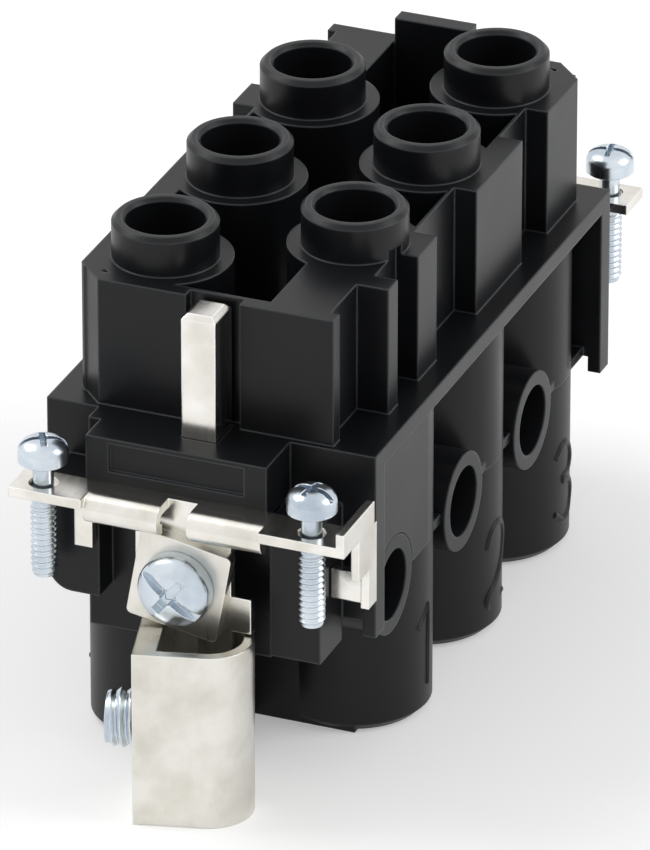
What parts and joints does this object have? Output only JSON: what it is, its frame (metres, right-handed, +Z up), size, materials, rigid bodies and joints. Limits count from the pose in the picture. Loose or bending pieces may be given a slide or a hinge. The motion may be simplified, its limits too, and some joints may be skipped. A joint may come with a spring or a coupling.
{
  "type": "heavy duty power connector",
  "caption": "Rectangular heavy duty socket insert with tall round contact towers, side driver tunnels, earth brackets, a hanging earth clamp and corner fixing screws.",
  "frame": {"origin": "on the resting surface, under the centre of the four fixing screws", "axes": "+Z up along the contacts, +X across the insert, -Y towards the earth clamp end"},
  "size_m": [0.035, 0.0861, 0.0524],
  "materials": {
    "black_polyamide": "satin moulded",
    "silvered_brass": "silver plated, turned",
    "nickel_plated_metal": "nickel plated, satin",
    "zinc_plated_steel": "bright zinc plated"
  },
  "bodies": {
    "root": {"contact_carrier": "black_polyamide", "terminal_housing": "black_polyamide", "socket_contact_1": "silvered_brass", "socket_contact_2": "silvered_brass", "socket_contact_3": "silvered_brass", "socket_contact_4": "silvered_brass", "socket_contact_5": "silvered_brass", "socket_contact_6": "silvered_brass", "terminal_screw_1": "zinc_plated_steel", "terminal_screw_2": "zinc_plated_steel", "terminal_screw_3": "zinc_plated_steel", "terminal_screw_4": "zinc_plated_steel", "terminal_screw_5": "zinc_plated_steel", "terminal_screw_6": "zinc_plated_steel", "earth_bracket_front": "nickel_plated_metal", "earth_blade_front": "nickel_plated_metal", "earth_washer_front": "nickel_plated_metal", "earth_screw_front": "zinc_plated_steel", "earth_bracket_rear": "nickel_plated_metal", "earth_blade_rear": "nickel_plated_metal", "earth_washer_rear": "nickel_plated_metal", "earth_screw_rear": "zinc_plated_steel", "earth_clamp_sleeve": "nickel_plated_metal", "earth_clamp_screw": "zinc_plated_steel", "fixing_screw_front_left": "zinc_plated_steel", "fixing_screw_front_right": "zinc_plated_steel", "fixing_screw_rear_left": "zinc_plated_steel", "fixing_screw_rear_right": "zinc_plated_steel"}
  },
  "joints": []
}
